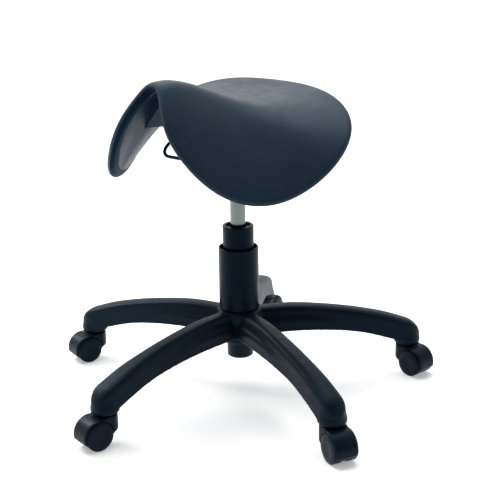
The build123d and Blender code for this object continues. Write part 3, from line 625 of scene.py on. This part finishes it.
# Half a section as (share of the way from top to skirt width, share of the height).
LEDGED = (
    (-1.00, 1.000), (-0.50, 0.990), (-0.18, 0.925), (-0.03, 0.800), (0.04, 0.670), (0.16, 0.590),
    (0.62, 0.500), (0.86, 0.420), (0.86, 0.300), (0.84, 0.180), (0.95, 0.085), (1.02, 0.030), (0.94, 0.000),
)
PLAIN = (
    (-1.00, 1.000), (-0.50, 0.985), (-0.16, 0.910), (0.00, 0.760), (0.16, 0.640), (0.28, 0.540),
    (0.42, 0.440), (0.56, 0.340), (0.70, 0.240), (0.82, 0.160), (0.94, 0.085), (1.02, 0.030), (0.94, 0.000),
)


NOSE_LENGTH, NOSE_FALL, NOSE_DROP = 0.0250, 0.0092, 0.021
NOSE_ANGLES = (14, 28, 41, 53, 64, 74, 82, 87)
LEDGE_ENDS_AT, LEDGE_FADES_OVER = 0.105, 0.095
ARM_STATIONS = 32
BORE_RADIUS = 0.0253
SOCKET_RADIUS, SOCKET_TOP = 0.0058, 0.090
BELOW_BASE = 0.05           # height below which the base has nothing
POCKETS, POCKET_START, POCKET_STEP, POCKET_HALF = 5, 0.070, 0.044, 0.019
BASE_VOXEL, HOOD_VOXEL, FILLET_ROUNDS = 0.0016, 0.0009, 5


def arm_ring(reach, nose=0.0):
    """One section of an arm, square to it: rounded crown, ledge that fades outward, skirt and lip.

    The nose angle runs from 0 at the arm's last station to a right angle at its rounded tip."""
    columns = (hermite(ARM_TABLE[:, 0], ARM_TABLE[:, k], reach) for k in range(1, 5))
    top, bottom, half_top, half_skirt = columns
    top -= NOSE_FALL * sin(nose) + NOSE_DROP * (1 - cos(nose))
    half_top, half_skirt = half_top * cos(nose), half_skirt * cos(nose)
    fade = np.clip((reach - LEDGE_ENDS_AT) / LEDGE_FADES_OVER, 0, 1)
    fade = fade * fade * (3 - 2 * fade)
    half = []
    for (wide_a, high_a), (wide_b, high_b) in zip(LEDGED, PLAIN):
        wide = wide_a + (wide_b - wide_a) * fade
        high = high_a + (high_b - high_a) * fade
        if wide < 0:
            y = half_top * (1 + wide)
        else:
            y = half_top + (half_skirt - half_top) * wide
        half.append((y, bottom + (top - bottom) * high))
    other = [(-y, z) for y, z in reversed(half[1:])]
    return [(reach + NOSE_LENGTH * sin(nose), y, z) for y, z in half + other]


def turned_by(points, degrees):
    """Points turned about the column's axis."""
    a = radians(degrees)
    return [(x * cos(a) - y * sin(a), x * sin(a) + y * cos(a), z) for x, y, z in points]


def base_mesh():
    """Hub, five arms with rounded noses and castor bosses in one skin, with its bore and pockets."""
    reaches = np.linspace(ARM_TABLE[0, 0], ARM_TABLE[-1, 0], ARM_STATIONS)
    rings = [arm_ring(r) for r in reaches]
    rings += [arm_ring(reaches[-1], radians(a)) for a in NOSE_ANGLES]
    arm_points, arm_faces = lofted(rings)
    boss_profile = [(0, BOSS_TOP), (0.008, BOSS_TOP), (0.0165, 0.0850), (0.0215, 0.077)]
    boss_profile += [(0.0244, 0.068), (0.0244, 0.0605), (0.0225, BOSS_BOTTOM), (0, BOSS_BOTTOM)]
    boss_points, boss_faces = turned(boss_profile, (STEM_CIRCLE, 0))
    hub_profile = [(0, HUB_TOP), (0.037, HUB_TOP), (0.0395, 0.1495), (HUB_RADIUS, 0.146)]
    hub_profile += [(HUB_RADIUS, 0.098), (0.038, HUB_BOTTOM), (0, HUB_BOTTOM)]
    parts = [turned(hub_profile, steps=96)]
    for angle in arm_angles:
        parts.append((turned_by(arm_points, angle), arm_faces))
        parts.append((turned_by(boss_points, angle), boss_faces))
    base = joined("star_base_moulding", parts, nylon)
    fused(base, BASE_VOXEL, FILLET_ROUNDS)

    def drilled(radius, top, centre, steps):
        profile = [(0, BELOW_BASE), (radius, BELOW_BASE), (radius, top), (0, top)]
        return turned(profile, centre, steps)

    holes = [drilled(BORE_RADIUS, HUB_TOP + 0.008, (0, 0), 64)]
    for angle in arm_angles:
        centre = (STEM_CIRCLE * cos(radians(angle)), STEM_CIRCLE * sin(radians(angle)))
        holes.append(drilled(SOCKET_RADIUS, SOCKET_TOP, centre, 24))
        for step in range(POCKETS):
            reach = POCKET_START + POCKET_STEP * step
            ceiling = 0.139 - 0.0070 * step - 0.0015 * step * step
            wide = 0.0125 - 0.0007 * step
            ring = [(-POCKET_HALF, -wide), (POCKET_HALF, -wide), (POCKET_HALF, wide), (-POCKET_HALF, wide)]
            low = turned_by([(reach + x, y, BELOW_BASE) for x, y in ring], angle)
            high = turned_by([(reach + x * 0.93, y * 0.9, ceiling) for x, y in ring], angle)
            holes.append(lofted([low, high]))
    combined(base, joined("base_holes", holes, nylon), "DIFFERENCE")
    return base


star = base_mesh()
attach(star, "root")
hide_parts("star_base")

# ---- valve spring ----------------------------------------------------------------------
# A copy of the coil with a mesh of its own rides on the seat. On the real stool the coil is squeezed
# against its lower end as the lever pushes the release pin down.
coil = placed("valve_spring_coil", nodes["valve_spring"].data.copy())
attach(coil, "seat")
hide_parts("valve_spring")
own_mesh(coil)

# ---- castor hoods ----------------------------------------------------------------------
TRAIL, WHEEL_RADIUS = 0.0238, 0.025
HOOD_RADIUS, HOOD_HALF = 0.029, 0.0214
EDGE_ROUND = 0.0052
HOOD_MIDDLE = (0.012, 0.030)
# Sections across a hood, as shares of its half width.
HOOD_SECTIONS = (-1, -0.985, -0.94, -0.87, -0.76, -0.4, 0, 0.4, 0.76, 0.87, 0.94, 0.985, 1)
WELL_RADIUS, WEB_HALF = 0.0262, 0.0046
# The hood's front and underside in its own frame: distance behind the stem, height.
HOOD_FRONT = (
    (TRAIL + 0.018, 0.0085), (TRAIL - 0.012, 0.0105), (-0.006, 0.0255), (-0.0150, 0.0290),
    (-0.0188, 0.0325), (-0.0193, 0.0450), (-0.0185, 0.0530), (-0.0130, 0.0562), (0.0000, 0.0565),
    (0.0100, 0.0560),
)


def hood_profile():
    """Side outline of a hood in the castor's own frame, wheels trailing along +X."""
    arc = []
    for degrees in np.linspace(100, -14, 22):
        a = radians(degrees)
        arc.append((TRAIL + HOOD_RADIUS * cos(a), WHEEL_RADIUS + HOOD_RADIUS * sin(a)))
    return arc + list(HOOD_FRONT)


def hood_mesh():
    """A hood with rounded side edges, a round front and a well for each wheel."""
    profile = hood_profile()
    middle = HOOD_MIDDLE
    rows = []
    for y in HOOD_SECTIONS:
        side = abs(y) * HOOD_HALF
        into = max(0.0, (side - (HOOD_HALF - EDGE_ROUND)) / EDGE_ROUND)
        shrink = 1 - EDGE_ROUND * (1 - (1 - into * into) ** 0.5) / HOOD_RADIUS
        rows.append([
            (middle[0] + (x - middle[0]) * shrink, y * HOOD_HALF, middle[1] + (z - middle[1]) * shrink)
            for x, z in profile
        ])
    hood = joined("castor_hood_shape", [lofted(rows)], castor_nylon)
    # The front is round about the stem: keep what lies inside a capsule seen from above.
    ring = []
    for degrees in np.linspace(90, 270, 24):
        a = radians(degrees)
        ring.append((HOOD_HALF * 0.92 * cos(a), HOOD_HALF * 1.02 * sin(a)))
    ring += [(0.08, -HOOD_HALF * 1.02), (0.08, HOOD_HALF * 1.02)]
    capsule = lofted([[(x, y, z) for x, y in ring] for z in (0.0, 0.08)])
    keep = joined("hood_keep", [capsule], castor_nylon)
    combined(hood, keep, "INTERSECT")
    fused(hood, HOOD_VOXEL, FILLET_ROUNDS)
    wells = []
    for side in (-1, 1):
        ring_a, ring_b = [], []
        for k in range(96):
            a = 2 * pi * k / 96
            x, z = TRAIL + WELL_RADIUS * cos(a), WHEEL_RADIUS + WELL_RADIUS * sin(a)
            ring_a.append((x, side * WEB_HALF, z))
            ring_b.append((x, side * 0.040, z))
        wells.append(lofted([ring_a, ring_b]))
    combined(hood, joined("hood_wells", wells, castor_nylon), "DIFFERENCE")
    return hood


hood_shape = hood_mesh()
for number, (angle, trail_angle) in enumerate(zip(arm_angles, TRAIL_ANGLES), start=1):
    mesh = hood_shape.data.copy()
    stem = Matrix.Translation((STEM_CIRCLE * cos(radians(angle)), STEM_CIRCLE * sin(radians(angle)), 0))
    mesh.transform(stem @ Matrix.Rotation(radians(trail_angle), 4, "Z"))
    piece = placed(f"castor_{number}_cover", mesh)
    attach(piece, f"castor_{number}")
    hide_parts(f"castor_{number}_hood")
bpy.data.objects.remove(hood_shape)

# ---- stage -----------------------------------------------------------------------------
floor_look = Look("studio_floor").set(Emission_Color=(1, 1, 0.99, 1))
floor_look.glow(0.30, 0.50, 0.9, 3.0)
floor_look.colour(floor_look.noise(3, 2), (0.84, 0.84, 0.83), (0.86, 0.86, 0.85))
floor_look.roughness(floor_look.noise(5, 2), 0.7, 0.8)
FLOOR_HALF = 30
floor_corners = [(FLOOR_HALF * x, FLOOR_HALF * y, 0) for x, y in ((-1, -1), (1, -1), (1, 1), (-1, 1))]
floor = mesh_object("studio_floor", floor_corners, [(0, 1, 2, 3)], floor_look.mat)


DARK_SIDE = (0.94, -0.34, 0.0)


def studio_world():
    """White surroundings, darker towards the side that the photographer stands on."""
    world = bpy.data.worlds.new("studio")
    world.use_nodes = True
    tree = world.node_tree
    background = tree.nodes["Background"]
    towards = tree.nodes.new("ShaderNodeTexCoord").outputs["Generated"]
    dot = tree.nodes.new("ShaderNodeVectorMath")
    dot.operation = "DOT_PRODUCT"
    dot.inputs[1].default_value = DARK_SIDE
    tree.links.new(towards, dot.inputs[0])
    ramp = tree.nodes.new("ShaderNodeValToRGB")
    ramp.color_ramp.elements[0].position = 0.0
    ramp.color_ramp.elements[0].color = (1.0, 1.0, 1.0, 1)
    ramp.color_ramp.elements[1].position = 0.36
    ramp.color_ramp.elements[1].color = (0.05, 0.08, 0.12, 1)
    tree.links.new(dot.outputs["Value"], ramp.inputs[0])
    tree.links.new(ramp.outputs[0], background.inputs["Color"])
    background.inputs["Strength"].default_value = 1.05
    return world


bpy.context.scene.world = studio_world()
bpy.context.scene.view_settings.view_transform = "Standard"


def softbox(name, at, aim, size, power):
    """A rectangular area light at one point, turned towards another."""
    light = bpy.data.lights.new(name, "AREA")
    light.shape = "RECTANGLE"
    light.size, light.size_y = size
    light.energy = power
    lamp = bpy.data.objects.new(name, light)
    bpy.context.scene.collection.objects.link(lamp)
    lamp.location = at
    lamp.rotation_euler = (Vector(aim) - Vector(at)).to_track_quat("-Z", "Y").to_euler()


softbox("top_box", (-0.6, 0.2, 2.6), (0, 0, 0.2), (2.6, 2.4), 72)
softbox("back_box", (-1.3, 1.9, 1.5), (0, 0, 0.3), (1.8, 0.8), 4)
softbox("left_box", (-2.2, -0.3, 1.7), (0, 0, 0.3), (0.7, 1.2), 34)
softbox("right_strip", (2.4, 1.2, 1.2), (0, 0, 0.35), (0.3, 1.6), 14)

# ---- camera ----------------------------------------------------------------------------
CAMERA_AT = (1.262803, -1.424400, 0.865842)
right = Vector((0.758463, 0.651544, -0.014940)).normalized()
back = Vector((0.624378, -0.719880, 0.303180)).normalized()
up = back.cross(right).normalized()
right = up.cross(back).normalized()
camera_data = bpy.data.cameras.new("camera")
camera_data.lens = 80.18
camera_data.sensor_width = 36
camera = bpy.data.objects.new("camera", camera_data)
bpy.context.scene.collection.objects.link(camera)
turn = Matrix((right, up, back)).transposed().to_4x4()
camera.matrix_world = Matrix.Translation(CAMERA_AT) @ turn
bpy.context.scene.camera = camera
